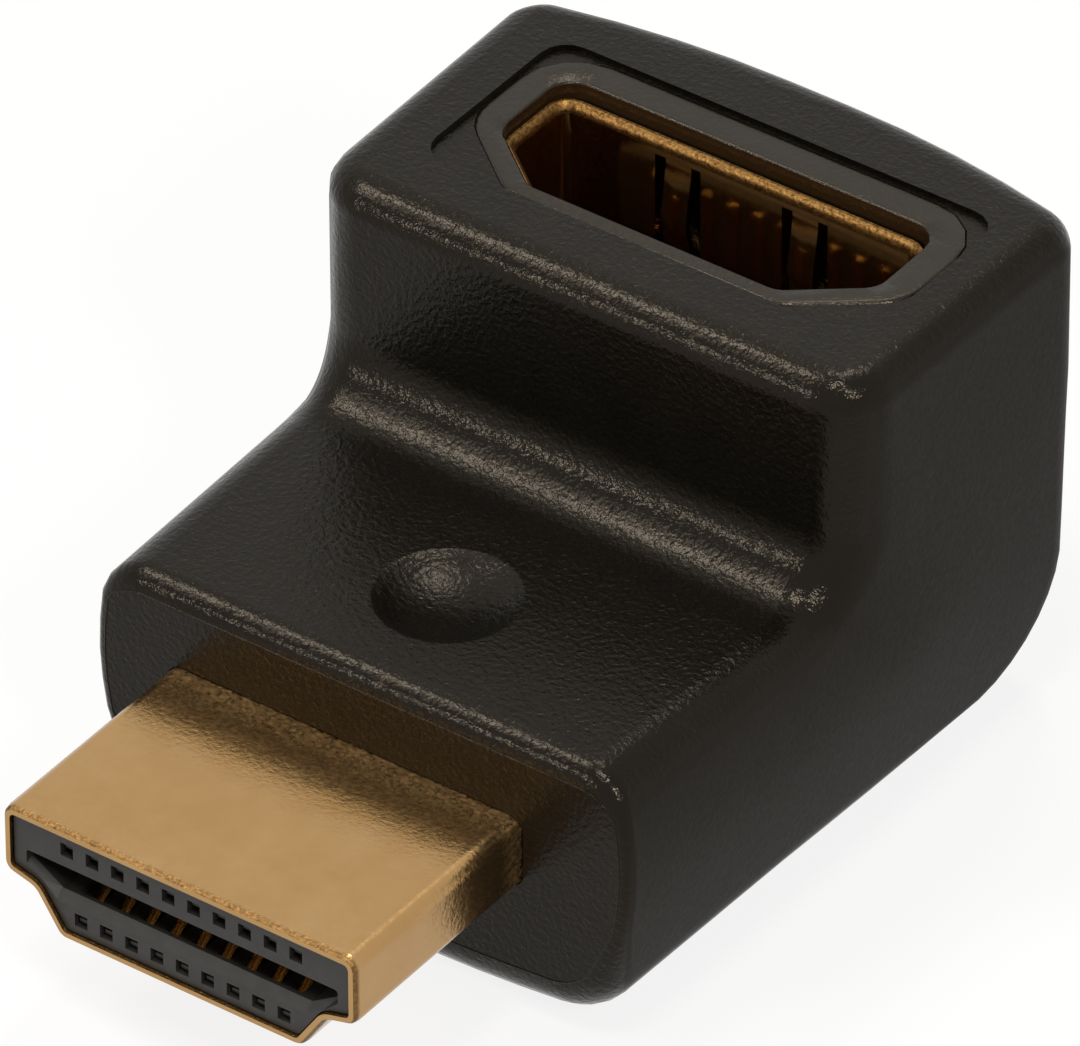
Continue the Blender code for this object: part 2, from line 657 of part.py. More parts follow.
def socket_insulator_shapes():
    """The block, and the tongue that is joined to it."""
    block_points = outline(socket_corners(), -SHELL_CLEARANCE)
    block = prism(block_points, along_z, BOARD_TOP + SOCKET_BLOCK_RAISE, TONGUE_ROOT)
    full = outline(slot_corners(), -MATING_CLEARANCE)
    tip = outline(slot_corners(), -MATING_CLEARANCE - TONGUE_TIP_CHAMFER)
    tongue = skin([
        along_z(full, TONGUE_ROOT - SOCKET_BLOCK_RAISE),
        along_z(full, TONGUE_TIP - TONGUE_TIP_CHAMFER),
        along_z(tip, TONGUE_TIP),
    ])
    return block, tongue


def socket_insulator_cuts():
    """Grooves down both faces of the tongue, which go on through the block."""
    cuts = []
    for row_side, count in ((1, WIDE_ROW), (-1, NARROW_ROW)):
        face = tongue_face(row_side)
        bottom = face - row_side * TONGUE_GROOVE_DEPTH
        outside = bottom + row_side * (CONTACT_THICKNESS + 3 * CONTACT_CLEARANCE)
        low, high = sorted((bottom, outside))
        top = TONGUE_TIP - SOCKET_CONTACT_SETBACK + CONTACT_CLEARANCE
        cuts.append(together([
            box((x - CHANNEL_WIDTH / 2, low, BOARD_TOP), (x + CHANNEL_WIDTH / 2, high, top))
            for x in row_places(count)
        ]))
    return cuts


def socket_contact_shape(x, row_side):
    """A straight contact with its tail set over, down through the circuit board."""
    face = tongue_face(row_side) - row_side * (
        TONGUE_GROOVE_DEPTH - CONTACT_CLEARANCE - CONTACT_THICKNESS / 2
    )
    block_bottom = BOARD_TOP + SOCKET_BLOCK_RAISE
    tail = face + row_side * TAIL_SPREAD
    path = [
        (face, TONGUE_TIP - SOCKET_CONTACT_SETBACK),
        (face, block_bottom - CONTACT_CLEARANCE),
        (tail, block_bottom - TAIL_SPREAD),
        (tail, PIN_END),
    ]
    return strip(path, CONTACT_THICKNESS, x, CONTACT_WIDTH)


def finger_places():
    """(x, side) of each spring finger: a pair in each of the two wide walls."""
    return [(x * FINGER_SPACING / 2, side) for side in (-1, 1) for x in (-1, 1)]


def finger_window(x, side):
    half = FINGER_WIDTH / 2 + FINGER_SLOT_WIDTH
    wall = side * SOCKET_HEIGHT / 2
    low, high = sorted((wall - side * CUT_PAST, wall + side * (SOCKET_SHELL_WALL + CUT_PAST)))
    bottom = SOCKET_RIM - FINGER_END_DEPTH - FINGER_SLOT_WIDTH
    return box((x - half, low, bottom), (x + half, high, SOCKET_RIM - FINGER_ROOT_DEPTH))


def finger_shape(x, side):
    """A finger rooted below the rim, bent inwards to its ridge and out again to its end."""
    wall = side * (SOCKET_HEIGHT + SOCKET_SHELL_WALL) / 2
    path = [
        (wall, SOCKET_RIM - FINGER_ROOT_DEPTH + FINGER_ROOT_LAP),
        (wall, SOCKET_RIM - FINGER_ROOT_DEPTH - FINGER_ROOT_LAP),
        (wall - side * FINGER_THROW, SOCKET_RIM - FINGER_RIDGE_DEPTH),
        (wall, SOCKET_RIM - FINGER_END_DEPTH),
    ]
    return strip(path, FINGER_THICKNESS, x, FINGER_WIDTH)


def socket_shell_shape():
    corners = socket_corners()
    foot = BOARD_TOP + SOLDER_GAP
    return skin([
        along_z(outline(corners, SOCKET_SHELL_WALL), foot),
        along_z(outline(corners, SOCKET_SHELL_WALL), SOCKET_RIM - SOCKET_SHELL_WALL / 3),
        along_z(outline(corners, SOCKET_SHELL_WALL), SOCKET_RIM),
        along_z(outline(corners, SOCKET_LEAD_IN), SOCKET_RIM),
        along_z(outline(corners, SOCKET_LEAD_IN / 3), SOCKET_RIM - SOCKET_LEAD_IN * 2 / 3),
        along_z(outline(corners), SOCKET_RIM - SOCKET_LEAD_IN * 2),
        along_z(outline(corners), foot),
    ], closed=True)


def leg_shape(x, y):
    return box(
        (x - LEG_THICKNESS / 2, y - LEG_WIDTH / 2, PIN_END),
        (x + LEG_THICKNESS / 2, y + LEG_WIDTH / 2, BOARD_TOP + SOCKET_BLOCK_RAISE),
    )


def bezel_shape():
    corners = socket_corners()
    edge = BEZEL_EDGE_RADIUS
    bottom = BEZEL_TOP - BEZEL_HEIGHT
    rings = [along_z(bezel_outline(), bottom)]
    for step in range(ARC_STEPS + 1):
        angle = pi / 2 * step / ARC_STEPS
        pulled = bezel_outline(-edge * (1 - cos(angle)))
        rings.append(along_z(pulled, BEZEL_TOP - edge * (1 - sin(angle))))
    rings.append(along_z(outline(corners, bezel_opening(edge / 3)), BEZEL_TOP))
    rings.append(along_z(outline(corners, bezel_opening()), BEZEL_TOP - edge / 3))
    rings.append(along_z(outline(corners, bezel_opening()), bottom))
    return skin(rings, closed=True)


def board_shape():
    side = board_half_width()
    nose = BOARD_NOSE_WIDTH / 2
    corners = [
        (PLUG_OFFSET + nose, BOARD_NOSE_SETBACK, BOARD_CORNER_RADIUS / 2),
        (PLUG_OFFSET + nose, BOARD_SHOULDER_SETBACK, BOARD_CORNER_RADIUS / 2),
        (side, BOARD_SHOULDER_SETBACK, BOARD_CORNER_RADIUS),
        (side, board_end(), BOARD_CORNER_RADIUS),
        (-side, board_end(), BOARD_CORNER_RADIUS),
        (-side, BOARD_SHOULDER_SETBACK, BOARD_CORNER_RADIUS),
        (PLUG_OFFSET - nose, BOARD_SHOULDER_SETBACK, BOARD_CORNER_RADIUS / 2),
        (PLUG_OFFSET - nose, BOARD_NOSE_SETBACK, BOARD_CORNER_RADIUS / 2),
    ]
    return prism(outline(corners), along_z, BOARD_BOTTOM, BOARD_TOP)


def board_cuts():
    """Holes for the receptacle's contacts and slots for its legs."""
    cuts = []
    for row_side, count in ((1, WIDE_ROW), (-1, NARROW_ROW)):
        face = tongue_face(row_side) - row_side * (
            TONGUE_GROOVE_DEPTH - CONTACT_CLEARANCE - CONTACT_THICKNESS / 2
        )
        for x in row_places(count):
            hole = bmesh.new()
            bmesh.ops.create_cone(hole, cap_ends=True, segments=PIN_HOLE_SIDES, radius1=PIN_HOLE_RADIUS,
                                  radius2=PIN_HOLE_RADIUS, depth=BOARD_THICKNESS * 2)
            place = (x, face + row_side * TAIL_SPREAD, PLUG_AXIS_HEIGHT)
            bmesh.ops.translate(hole, verts=hole.verts, vec=place)
            cuts.append(hole)
    gap = CONTACT_CLEARANCE * 2
    for x, y in leg_places():
        cuts.append(box(
            (x - LEG_THICKNESS / 2 - gap, y - LEG_WIDTH / 2 - gap, BOARD_BOTTOM - gap),
            (x + LEG_THICKNESS / 2 + gap, y + LEG_WIDTH / 2 + gap, BOARD_TOP + gap),
        ))
    whole = together(cuts)
    bmesh.ops.translate(whole, verts=whole.verts, vec=(SOCKET_OFFSET, SOCKET_AXIS, 0))
    return [whole]


for old in list(bpy.data.objects):
    bpy.data.objects.remove(old)

black_plastic = material("black_plastic", (0.022, 0.021, 0.020), 0.55)
grey_plastic = material("grey_plastic", (0.040, 0.039, 0.037), 0.45)
insulator_plastic = material("insulator_plastic", (0.030, 0.032, 0.036), 0.50)
gold_plate = material("gold_plate", (0.72, 0.47, 0.20), 0.35, 1.0)
contact_gold = material("contact_gold", (0.85, 0.58, 0.22), 0.25, 1.0)
board_laminate = material("board_laminate", (0.015, 0.10, 0.04), 0.45)

body_place = (0, FRONT_Y, 0)
plug_place = (PLUG_OFFSET, FRONT_Y, PLUG_AXIS_HEIGHT)
socket_place = (SOCKET_OFFSET, FRONT_Y + SOCKET_AXIS, 0)

piece("overmould", body_shape(), black_plastic, body_place, cutting(overmould_cuts()))
piece("plug_shell", plug_shell_shape(), gold_plate, plug_place)
piece(
    "plug_insulator",
    prism(outline(plug_corners(), -PLUG_SHELL_WALL - SHELL_CLEARANCE), along_y,
          INSULATOR_FRONT, INSULATOR_BURIED),
    insulator_plastic, plug_place, cutting(plug_insulator_cuts()),
)
for number, x in enumerate(row_places(WIDE_ROW), 1):
    contact = plug_contact_shape(x, UPPER_WINDOW, SLOT_TOP)
    piece(f"plug_contact_upper_{number:02}", contact, contact_gold, plug_place)
for number, x in enumerate(row_places(NARROW_ROW), 1):
    contact = plug_contact_shape(x, LOWER_WINDOW, SLOT_FLOOR)
    piece(f"plug_contact_lower_{number:02}", contact, contact_gold, plug_place)

piece("circuit_board", board_shape(), board_laminate, body_place, cutting(board_cuts()))
piece(
    "receptacle_shell", socket_shell_shape(), gold_plate, socket_place,
    cutting([finger_window(x, side) for x, side in finger_places()])
    + joining([finger_shape(x, side) for x, side in finger_places()])
    + joining([leg_shape(x, y) for x, y in leg_places()]),
)
block, tongue = socket_insulator_shapes()
piece("receptacle_insulator", block, insulator_plastic, socket_place,
      joining([tongue]) + cutting(socket_insulator_cuts()))
for number, x in enumerate(row_places(WIDE_ROW), 1):
    piece(f"receptacle_contact_back_{number:02}", socket_contact_shape(x, 1),
          contact_gold, socket_place)
for number, x in enumerate(row_places(NARROW_ROW), 1):
    piece(f"receptacle_contact_front_{number:02}", socket_contact_shape(x, -1),
          contact_gold, socket_place)
piece("socket_bezel", bezel_shape(), grey_plastic, socket_place)
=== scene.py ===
from math import radians

import bmesh
import bpy
from mathutils import Matrix, Vector
from mathutils.geometry import convex_hull_2d


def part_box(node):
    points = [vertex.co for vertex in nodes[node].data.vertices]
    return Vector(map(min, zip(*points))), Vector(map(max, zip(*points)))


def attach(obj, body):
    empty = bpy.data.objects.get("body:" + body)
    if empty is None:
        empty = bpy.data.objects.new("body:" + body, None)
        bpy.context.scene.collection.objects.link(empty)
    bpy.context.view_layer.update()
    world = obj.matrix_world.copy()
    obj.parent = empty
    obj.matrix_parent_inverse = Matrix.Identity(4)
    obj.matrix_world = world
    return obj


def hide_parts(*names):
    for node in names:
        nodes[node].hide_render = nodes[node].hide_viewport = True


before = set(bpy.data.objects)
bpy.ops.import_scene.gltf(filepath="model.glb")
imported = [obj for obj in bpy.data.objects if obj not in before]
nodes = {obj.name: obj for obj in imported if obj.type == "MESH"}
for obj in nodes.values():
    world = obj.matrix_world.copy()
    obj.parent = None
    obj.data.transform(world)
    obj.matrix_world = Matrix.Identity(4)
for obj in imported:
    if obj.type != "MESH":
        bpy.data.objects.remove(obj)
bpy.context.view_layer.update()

# Circuit board. A small piece of glass-filled laminate with green solder mask over copper. It
# stands unseen inside the moulding and joins the tails of the plug to the pins of the socket.

NOISE_LOW = 0.3  # most of a noise pattern lies between these two
NOISE_HIGH = 0.7
BOARD_GREEN = (0.02, 0.12, 0.05)
BOARD_GREEN_DARK = (0.012, 0.095, 0.035)
BOARD_GREEN_PALE = (0.03, 0.16, 0.065)
BOARD_BLOTCHES = 900.0  # to a metre, as every size of a pattern below
WEAVE_SQUARES = 2500.0
WEAVE_DEPTH = 0.0000015


def surface(name, colour, roughness, metallic=0.0):
    """A new material, its shader and its tree of nodes."""
    made = bpy.data.materials.new(name)
    made.use_nodes = True
    shader = made.node_tree.nodes["Principled BSDF"]
    shader.inputs["Base Color"].default_value = (*colour, 1)
    shader.inputs["Roughness"].default_value = roughness
    shader.inputs["Metallic"].default_value = metallic
    return made, shader, made.node_tree


def add_node(tree, kind, **settings):
    """A shader node. Each setting is a property of it, or else the value of the input so named."""
    made = tree.nodes.new("ShaderNode" + kind)
    for key, value in settings.items():
        if hasattr(made, key):
            setattr(made, key, value)
        else:
            made.inputs[key].default_value = value
    return made


def object_place(tree):
    """Object coordinates: the place of each point on the adapter, in metres."""
    return add_node(tree, "TexCoord").outputs["Object"]


def noise(tree, place, **settings):
    """A noise pattern laid over the places given."""
    made = add_node(tree, "TexNoise", **settings)
    tree.links.new(place, made.inputs["Vector"])
    return made


def spread(tree, value, low, high, to_low=0.0, to_high=1.0):
    """The value between low and high, spread over another range and held at its ends."""
    made = add_node(tree, "MapRange")
    made.inputs["From Min"].default_value = low
    made.inputs["From Max"].default_value = high
    made.inputs["To Min"].default_value = to_low
    made.inputs["To Max"].default_value = to_high
    tree.links.new(value, made.inputs["Value"])
    return made.outputs["Result"]


def reckon(tree, operation, first, second=0.0):
    """The sum, product or other operation on two values, each a socket or a number."""
    made = add_node(tree, "Math", operation=operation)
    for socket, value in zip(made.inputs, (first, second)):
        if isinstance(value, (int, float)):
            socket.default_value = value
        else:
            tree.links.new(value, socket)
    return made.outputs[0]


def blend(tree, mask, first, second):
    """A colour between two by the mask. Each colour is a socket or three numbers."""
    made = add_node(tree, "Mix", data_type="RGBA")
    tree.links.new(mask, made.inputs["Factor"])
    colours = [socket for socket in made.inputs if socket.type == "RGBA"]
    for socket, colour in zip(colours, (first, second)):
        if isinstance(colour, tuple):
            socket.default_value = (*colour, 1)
        else:
            tree.links.new(colour, socket)
    return next(socket for socket in made.outputs if socket.type == "RGBA")


def relief(tree, shader, *layers):
    """Bumps on the shader's normal, one layer (height, distance in metres) over another."""
    under = None
    for height, distance in layers:
        made = add_node(tree, "Bump", Strength=1.0, Distance=distance)
        tree.links.new(height, made.inputs["Height"])
        if under:
            tree.links.new(under, made.inputs["Normal"])
        under = made.outputs["Normal"]
    tree.links.new(under, shader.inputs["Normal"])


def new_group(name, inputs, output):
    """An empty shader group with number inputs and one number output: it, and its two ends."""
    group = bpy.data.node_groups.new(name, "ShaderNodeTree")
    for socket, value in inputs.items():
        made = group.interface.new_socket(socket, in_out="INPUT", socket_type="NodeSocketFloat")
        made.default_value = value
    group.interface.new_socket(output, in_out="OUTPUT", socket_type="NodeSocketFloat")
    entry = group.nodes.new("NodeGroupInput")
    leaving = group.nodes.new("NodeGroupOutput")
    return group, entry.outputs, leaving.inputs[output]


def placed(tree, group, **values):
    """The output of a group put into a material with its own values."""
    made = tree.nodes.new("ShaderNodeGroup")
    made.node_tree = group
    for key, value in values.items():
        made.inputs[key].default_value = value
    return made.outputs[0]


def cloud_group():
    """A mask that drifts from 0 to the contrast over a few sizes of blotch."""
    group, entry, leaving = new_group("clouds", {"Size": 1000.0, "Contrast": 1.0}, "Mask")
    drift = noise(group, object_place(group), Detail=4.0, Roughness=0.6)
    group.links.new(entry["Size"], drift.inputs["Scale"])
    full = spread(group, drift.outputs["Fac"], NOISE_LOW, NOISE_HIGH)
    group.links.new(reckon(group, "MULTIPLY", full, entry["Contrast"]), leaving)
    return group


def give(node_name, material):
    """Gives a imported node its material. Its shape stays as it is."""
    nodes[node_name].data.materials.clear()
    nodes[node_name].data.materials.append(material)


clouds = cloud_group()

board_mask, shader, tree = surface("board solder mask", BOARD_GREEN, roughness=0.35)
mask = placed(tree, clouds, Size=BOARD_BLOTCHES, Contrast=0.8)
tree.links.new(blend(tree, mask, BOARD_GREEN_DARK, BOARD_GREEN_PALE), shader.inputs["Base Color"])
weave = add_node(tree, "TexChecker", Scale=WEAVE_SQUARES)
tree.links.new(object_place(tree), weave.inputs["Vector"])
relief(tree, shader, (weave.outputs["Fac"], WEAVE_DEPTH))
give("circuit_board", board_mask)

# Contacts of the plug and of the socket. They are stamped from gold plated copper alloy strip, so
# their faces are gold and their cut ends bare. Their tails are soldered to the board. The plug's
# contact tips in the insulator's windows are also painted dark, as painted shade in those windows.

CONTACT_EDGE_RADIUS = 0.00003
CONTACT_EDGE_ANGLE = 40  # degrees between the faces of an edge that is rounded
FLAT_WITHIN = 1  # degrees between triangles that are joined
CONTACT_TIP_Y = -0.0168  # ahead of this: bare cut ends and painted window shade on the tips
CONTACT_TIP_FADE = 0.00015
CONTACT_GOLD = (0.80, 0.50, 0.17)
CONTACT_GOLD_DEEP = (0.74, 0.44, 0.14)
CONTACT_GOLD_BRIGHT = (0.88, 0.58, 0.24)
CONTACT_GOLD_ROUGHNESS = 0.25
CUT_END_AND_WINDOW_SHADE_BROWN = (0.055, 0.048, 0.042)
CUT_END_ROUGHNESS = 0.6
ROLLED_LINES = 3000.0
ROLLED_STRETCH = (4.0, 0.25, 0.25)  # the lines of the strip run long and narrow
ROLLED_DEPTH = 0.0000006
MERGE_DISTANCE = 1e-7


def axes(tree, vector):
    """The X, Y and Z of a place or a direction."""
    made = add_node(tree, "SeparateXYZ")
    tree.links.new(vector, made.inputs[0])
    return made.outputs


def between(tree, mask, at_none, at_full):
    """A value that goes from the first number to the second as the mask goes from 0 to 1."""
    return spread(tree, mask, 0.0, 1.0, at_none, at_full)


contact_gold, shader, tree = surface("contact gold", CONTACT_GOLD, CONTACT_GOLD_ROUGHNESS,
                                     metallic=1.0)
place = object_place(tree)
stretch = add_node(tree, "Mapping", Scale=ROLLED_STRETCH)
tree.links.new(place, stretch.inputs["Vector"])
lines = noise(tree, stretch.outputs["Vector"], Scale=ROLLED_LINES, Detail=3.0).outputs["Fac"]
gold = blend(tree, lines, CONTACT_GOLD_DEEP, CONTACT_GOLD_BRIGHT)
# The tips ahead of CONTACT_TIP_Y turn brown: bare alloy at the cut ends, and painted shade in the
# windows.
bare_shaded_tip = spread(tree, axes(tree, place)["Y"], CONTACT_TIP_Y + CONTACT_TIP_FADE, CONTACT_TIP_Y)
tree.links.new(blend(tree, bare_shaded_tip, gold, CUT_END_AND_WINDOW_SHADE_BROWN), shader.inputs["Base Color"])
tree.links.new(between(tree, bare_shaded_tip, CONTACT_GOLD_ROUGHNESS, CUT_END_ROUGHNESS),
               shader.inputs["Roughness"])
relief(tree, shader, (lines, ROLLED_DEPTH))


def smooth_copy(node_name, material, sharp_angle, rework=None):
    """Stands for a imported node, whose triangles come loose: merged, and shaded round its curves.

    A rework changes the merged shape before it is shaded.
    """
    shape = bmesh.new()
    shape.from_mesh(nodes[node_name].data)
    bmesh.ops.remove_doubles(shape, verts=shape.verts, dist=MERGE_DISTANCE)
    if rework:
        rework(shape)
    for face in shape.faces:
        face.smooth = True
    mesh = bpy.data.meshes.new(node_name + "_skin")
    shape.to_mesh(mesh)
    shape.free()
    if "custom_normal" in mesh.attributes:
        mesh.attributes.remove(mesh.attributes["custom_normal"])
    mesh.set_sharp_from_angle(angle=radians(sharp_angle))
    mesh.materials.clear()
    mesh.materials.append(material)
    made = bpy.data.objects.new(node_name + "_skin", mesh)
    bpy.context.scene.collection.objects.link(made)
    made.modifiers.new("weighted", "WEIGHTED_NORMAL").keep_sharp = True
    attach(made, "root")
    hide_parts(node_name)


def round_contact(shape):
    """Joins the flat triangles of a contact and rounds its edges."""
    bmesh.ops.dissolve_limit(shape, angle_limit=radians(FLAT_WITHIN), verts=shape.verts,
                             edges=shape.edges)
    sharp = [edge for edge in shape.edges
             if edge.calc_face_angle(0) > radians(CONTACT_EDGE_ANGLE)]
    bmesh.ops.bevel(shape, geom=sharp, offset=CONTACT_EDGE_RADIUS, offset_type="OFFSET",
                    segments=2, profile=0.5, affect="EDGES", clamp_overlap=True, material=-1)
    bmesh.ops.triangulate(shape, faces=shape.faces)


for node_name in nodes:
    if "_contact_" in node_name:
        smooth_copy(node_name, contact_gold, CONTACT_EDGE_ANGLE, round_contact)

# Insulators of the plug and of the socket. Both are glass-filled plastic, dark grey and a little
# satin, and they hold the contacts in their grooves.

INSULATOR_GREY = (0.03, 0.03, 0.03)
INSULATOR_GREY_DARK = (0.020, 0.019, 0.017)
INSULATOR_GREY_PALE = (0.031, 0.029, 0.026)
INSULATOR_GLOSS = 0.3
INSULATOR_BLOTCHES = 2500.0
FIBRES = 9000.0
FIBRE_DEPTH = 0.000004

insulator_grey, shader, tree = surface("insulator plastic", INSULATOR_GREY, roughness=0.36)
shader.inputs["Specular IOR Level"].default_value = INSULATOR_GLOSS
mask = placed(tree, clouds, Size=INSULATOR_BLOTCHES, Contrast=0.9)
tree.links.new(blend(tree, mask, INSULATOR_GREY_DARK, INSULATOR_GREY_PALE),
               shader.inputs["Base Color"])
fibres = noise(tree, object_place(tree), Scale=FIBRES, Detail=3.0, Roughness=0.6)
relief(tree, shader, (fibres.outputs["Fac"], FIBRE_DEPTH))
give("plug_insulator", insulator_grey)
give("receptacle_insulator", insulator_grey)

# Shells of the plug and of the socket. Each is sheet steel folded to shape and gold plated. The
# plating is satin and a little mottled outside and wears rough along the open rims, where its
# darker colour is painted shade that dims the lamps' highlights.

PLUG_NOSE_Y = -0.01719
PLUG_RIM_DEPTH = 0.00024
PLUG_ROOT_Y = -0.0089  # from here back to the moulding the plating is rough in blotches
PLUG_ROOT_WORN = 0.0007  # in front of that, where the roughness fades out
SOCKET_RIM_Z = 0.01847
SOCKET_RIM_DEPTH = 0.00042
SOCKET_RIM_FADE = 0.0001
SHELL_SHARP_ANGLE = 35
RIM_FACE_FROM = 0.8  # how squarely a face looks along the axis, where it counts as the rim's end
RIM_FACE_TO = 0.95
PLATING_BLOTCHES = 450.0
PLATING_SWELL = 1100.0
PLATING_PITS = 6500.0
ROOT_BLOTCHES = 7000.0
RIM_SPECKS = 9000.0
RIM_PIT_DEPTH = 5.0  # times that of the rest
PIT_SMOOTHER = 0.03  # how far roughness falls and rises with the pits
PIT_ROUGHER = 0.05
WORN_ROUGHNESS = 0.24  # more than that of the rest


def facing(tree):
    """The X, Y and Z of the direction that a face looks in."""
    return axes(tree, add_node(tree, "NewGeometry").outputs["Normal"])


def plating(name, bright, deep, roughness, pit_depth, swell_depth, rim_axis, rim_from, rim_to,
            rim_shade_colour, end_wear_and_shade, root_from, root_to):
    """Gold plating, rough at the rim and rough in blotches at the root. The rim's darker colour is
    painted shade that dims the lamps' highlights there.

    The rim and the root begin and end at places along the axis. The end wear and shade says how
    far the rim's roughness and painted shade reach onto its end faces, from 0 to 1.
    """
    made, shader, tree = surface(name, bright, roughness, metallic=1.0)
    place = object_place(tree)
    along = axes(tree, place)[rim_axis]
    end_on = reckon(tree, "ABSOLUTE", facing(tree)[rim_axis])
    rim = reckon(tree, "MULTIPLY", spread(tree, along, rim_from, rim_to),
                 spread(tree, end_on, RIM_FACE_FROM, RIM_FACE_TO, 1.0, end_wear_and_shade))
    root = reckon(tree, "MULTIPLY", spread(tree, along, root_from, root_to),
                  placed(tree, clouds, Size=ROOT_BLOTCHES, Contrast=1.3))
    body = blend(tree, placed(tree, clouds, Size=PLATING_BLOTCHES, Contrast=1.0), bright, deep)
    specks = placed(tree, clouds, Size=RIM_SPECKS, Contrast=0.5)
    # The rim colour is painted shade, darker than the gold, that dims the lamps' highlights on the
    # rim.
    edge = blend(tree, specks, rim_shade_colour, deep)
    tree.links.new(blend(tree, rim, body, edge), shader.inputs["Base Color"])
    pits = noise(tree, place, Scale=PLATING_PITS, Detail=2.0, Roughness=0.6).outputs["Fac"]
    dull = spread(tree, pits, NOISE_LOW, NOISE_HIGH, roughness - PIT_SMOOTHER,
                  roughness + PIT_ROUGHER)
    worn = reckon(tree, "MULTIPLY", reckon(tree, "MAXIMUM", rim, root), WORN_ROUGHNESS)
    tree.links.new(reckon(tree, "ADD", dull, worn), shader.inputs["Roughness"])
    swell = noise(tree, place, Scale=PLATING_SWELL, Detail=1.0).outputs["Fac"]
    rough_rim = reckon(tree, "MULTIPLY", pits, between(tree, rim, 1.0, RIM_PIT_DEPTH))
    relief(tree, shader, (swell, swell_depth), (rough_rim, pit_depth))
    return made


# The plug's rim colour is painted shade on the rounded edge of the nose.
plug_plating = plating(
    "plug gold plating", bright=(0.45, 0.28, 0.12), deep=(0.41, 0.24, 0.095), roughness=0.2,
    pit_depth=0.000008, swell_depth=0.000006,
    rim_axis="Y", rim_from=PLUG_NOSE_Y + PLUG_RIM_DEPTH, rim_to=PLUG_NOSE_Y + PLUG_RIM_DEPTH / 2,
    rim_shade_colour=(0.09, 0.045, 0.013), end_wear_and_shade=0.0,
    root_from=PLUG_ROOT_Y - PLUG_ROOT_WORN, root_to=PLUG_ROOT_Y,
)
smooth_copy("plug_shell", plug_plating, SHELL_SHARP_ANGLE)

socket_rim_foot = SOCKET_RIM_Z - SOCKET_RIM_DEPTH
# The socket's rim colour is painted shade along the top of its rim.
socket_plating = plating(
    "socket gold plating", bright=(0.66, 0.40, 0.16), deep=(0.56, 0.32, 0.11), roughness=0.13,
    pit_depth=0.000002, swell_depth=0.000004,
    rim_axis="Z", rim_from=socket_rim_foot, rim_to=socket_rim_foot + SOCKET_RIM_FADE,
    rim_shade_colour=(0.05, 0.018, 0.002), end_wear_and_shade=1.0,
    root_from=SOCKET_RIM_Z, root_to=SOCKET_RIM_Z + SOCKET_RIM_DEPTH,  # past the rim: no root shows
)
smooth_copy("receptacle_shell", socket_plating, SHELL_SHARP_ANGLE)

# Overmould. The elbow is one injection moulding of black plastic round everything inside. Its
# mould was spark eroded, so its outside has a fine leathery grain, shallower on the drafted flanks.

PLASTIC_GLOSS = 0.175
PLASTIC_SHEEN_TINT = (1.0, 0.86, 0.68, 1.0)
PLASTIC_BLOTCHES = 700.0
PIT_FINENESS = 3.1  # pits to a lump of the grain
SHEEN_SWING = 0.04  # how much smoother the tops of the grain are, and how much rougher its valleys
GRAIN_VALLEY = 0.4
GRAIN_TOP = 1.0
FLANK_FROM = 0.72  # how squarely a face looks sideways, where it counts as the flank
FLANK_TO = 0.92
FLANK_DULLNESS = 0.34
FLAT_FACE = 0.95  # how squarely a face looks along an axis, where it counts as flat
ROUNDED_FACE = 0.86
EDGE_POLISH = 0.12  # how much smoother the rounded edges are
OVERMOULD_SHARP_ANGLE = 35


def grain_group():
    """Spark-eroded grain: small rounded lumps with finer pits over them."""
    group, entry, leaving = new_group("eroded grain", {"Size": 4000.0, "Pits": 0.3}, "Height")
    place = object_place(group)
    lumps = noise(group, place, Detail=1.0, Roughness=0.5, Distortion=0.3)
    group.links.new(entry["Size"], lumps.inputs["Scale"])
    pits = noise(group, place, Detail=1.0, Roughness=0.5)
    group.links.new(reckon(group, "MULTIPLY", entry["Size"], PIT_FINENESS), pits.inputs["Scale"])
    fine = reckon(group, "MULTIPLY", pits.outputs["Fac"], entry["Pits"])
    group.links.new(reckon(group, "ADD", lumps.outputs["Fac"], fine), leaving)
    return group


grain = grain_group()


def moulded(name, dark, pale, roughness, grain_size, grain_pits, grain_depth, flank_grain):
    """Black plastic with the mould's grain.

    The grain is shallower and duller on the flanks, and handling has polished the rounded edges.
    """
    made, shader, tree = surface(name, dark, roughness)
    shader.inputs["Specular IOR Level"].default_value = PLASTIC_GLOSS
    shader.inputs["Specular Tint"].default_value = PLASTIC_SHEEN_TINT
    mask = placed(tree, clouds, Size=PLASTIC_BLOTCHES, Contrast=0.9)
    tree.links.new(blend(tree, mask, dark, pale), shader.inputs["Base Color"])
    looks = facing(tree)
    sideways, endways, upwards = (reckon(tree, "ABSOLUTE", looks[axis]) for axis in "XYZ")
    flank = spread(tree, sideways, FLANK_FROM, FLANK_TO)
    squarest = reckon(tree, "MAXIMUM", reckon(tree, "MAXIMUM", sideways, endways), upwards)
    rounded = spread(tree, squarest, FLAT_FACE, ROUNDED_FACE)
    texture = placed(tree, grain, Size=grain_size, Pits=grain_pits)
    shallow = between(tree, flank, 1.0, flank_grain)
    relief(tree, shader, (reckon(tree, "MULTIPLY", texture, shallow), grain_depth))
    sheen = spread(tree, texture, GRAIN_VALLEY, GRAIN_TOP, roughness + SHEEN_SWING,
                   roughness - SHEEN_SWING)
    duller = reckon(tree, "MULTIPLY", flank, FLANK_DULLNESS)
    polished = reckon(tree, "MULTIPLY", rounded, EDGE_POLISH)
    tree.links.new(reckon(tree, "SUBTRACT", reckon(tree, "ADD", sheen, duller), polished),
                   shader.inputs["Roughness"])
    return made


